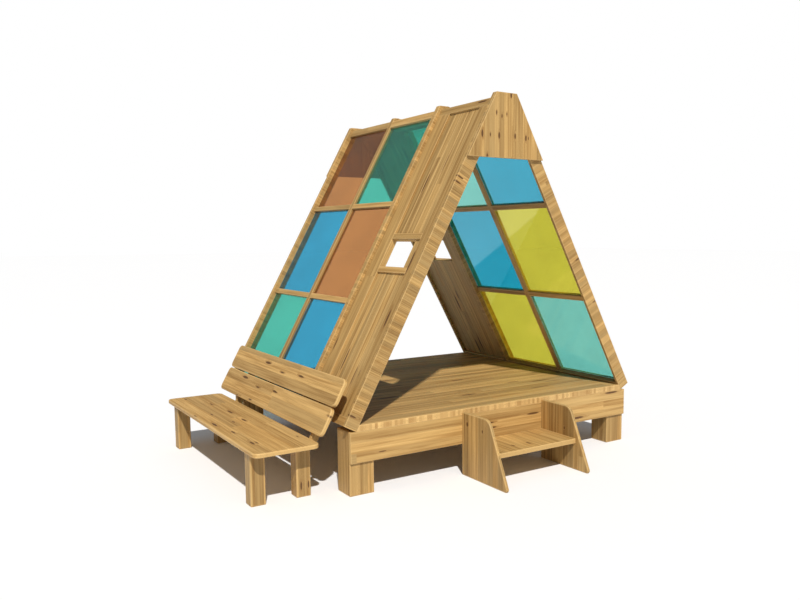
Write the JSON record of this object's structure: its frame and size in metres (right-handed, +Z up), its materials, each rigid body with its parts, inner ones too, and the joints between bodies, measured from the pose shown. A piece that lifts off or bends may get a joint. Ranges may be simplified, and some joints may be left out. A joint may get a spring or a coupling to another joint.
{
  "type": "a-frame play cabin",
  "caption": "Open A-frame play cabin: two sloping timber walls with coloured panes meet at a ridge over a raised deck, with a step in front and a bench along one side.",
  "frame": {"origin": "on the ground, in the middle of the rectangle that holds the cabin, its step and its bench", "axes": "+Z up; the step and the front gable face -Y; the bench is on the -X side"},
  "size_m": [2.5228, 2.196, 2.1439],
  "materials": {
    "frame_pine": "planed and oiled pine, glued from lamellae, satin",
    "board_pine": "planed and oiled pine boards with small knots, satin",
    "deck_pine": "planed pine deck boards, lightly worn",
    "bench_pine": "planed and oiled pine with rounded corners, satin",
    "orange_pane": "clear orange-red plastic sheet, glossy",
    "green_pane": "clear sea-green plastic sheet, glossy",
    "blue_pane": "clear blue plastic sheet, glossy",
    "teal_pane": "clear pale teal plastic sheet, glossy",
    "yellow_pane": "clear yellow plastic sheet, glossy"
  },
  "bodies": {
    "root": {"deck_floor": "deck_pine", "front_fascia": "board_pine", "back_fascia": "board_pine", "front_left_post": "board_pine", "front_right_post": "board_pine", "back_left_post": "board_pine", "back_right_post": "board_pine", "left_front_rafter": "frame_pine", "left_middle_rafter": "frame_pine", "left_back_rafter": "frame_pine", "left_ground_rail": "frame_pine", "left_ridge_rail": "frame_pine", "left_studs": "frame_pine", "left_infill": "frame_pine", "left_window_battens": "frame_pine", "left_pane_bar": "frame_pine", "left_pane_rails": "frame_pine", "left_orange_panes": "orange_pane", "left_green_panes": "green_pane", "left_blue_panes": "blue_pane", "right_front_rafter": "frame_pine", "right_middle_rafter": "frame_pine", "right_back_rafter": "frame_pine", "right_ground_rail": "frame_pine", "right_ridge_rail": "frame_pine", "right_studs": "frame_pine", "right_infill": "frame_pine", "right_window_battens": "frame_pine", "right_pane_bar": "frame_pine", "right_pane_rails": "frame_pine", "right_teal_panes": "teal_pane", "right_yellow_panes": "yellow_pane", "right_blue_panes": "blue_pane", "front_gable_board": "board_pine", "back_gable_board": "board_pine", "step_left_side": "board_pine", "step_right_side": "board_pine", "step_tread": "deck_pine", "bench_seat": "bench_pine", "bench_legs": "bench_pine", "bench_back_supports": "bench_pine", "bench_upper_board": "bench_pine", "bench_lower_board": "bench_pine"}
  },
  "joints": []
}
